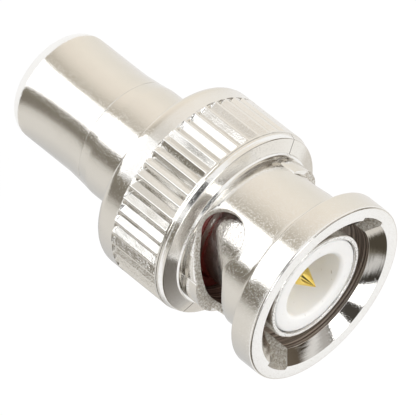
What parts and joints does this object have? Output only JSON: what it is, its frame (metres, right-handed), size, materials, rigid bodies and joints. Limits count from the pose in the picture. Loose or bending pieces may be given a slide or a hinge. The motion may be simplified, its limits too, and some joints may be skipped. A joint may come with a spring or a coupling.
{
  "type": "bnc to rca adapter",
  "caption": "Straight video cable adapter with a bayonet coupling plug at one end and a phono jack at the other.",
  "frame": {"origin": "on the axis, at the phono jack's end face, which is the lowest point", "axes": "+Z runs along the axis from the phono jack to the bayonet mouth; -Y is the side that faces the camera in the picture, and the first bayonet detent is 14 degrees from it towards +X"},
  "size_m": [0.0142, 0.0142, 0.0267],
  "materials": {
    "nickel_plated_brass": "polished",
    "nickel_plated_nut": "satin",
    "white_insulator": "satin",
    "gold_plated_contact": "polished",
    "steel_washer": "satin",
    "spring_steel": "satin",
    "red_rubber": "matte"
  },
  "bodies": {
    "body": {"jack_shell": "nickel_plated_brass", "main_body": "nickel_plated_brass", "contact_tube": "nickel_plated_brass", "front_insulator": "white_insulator", "rear_insulator": "white_insulator", "socket_contact": "gold_plated_contact", "centre_pin": "gold_plated_contact", "wave_spring": "spring_steel", "flat_washer": "steel_washer", "retaining_clip": "spring_steel", "gasket": "red_rubber"},
    "float": {"thrust_washer": "steel_washer"},
    "nut": {"coupling_nut": "nickel_plated_nut"}
  },
  "joints": [
    {"name": "nut_float", "type": "slide", "parent": "body", "child": "float", "axis": [0, 0, 1], "range_m": [0, 0.0006], "stiffness_N_per_m": 8000, "deforming": ["wave_spring"]},
    {"name": "nut_spin", "type": "hinge", "parent": "float", "child": "nut", "pos_m": [0, 0, 0.014], "axis": [0, 0, 1], "continuous": true}
  ]
}
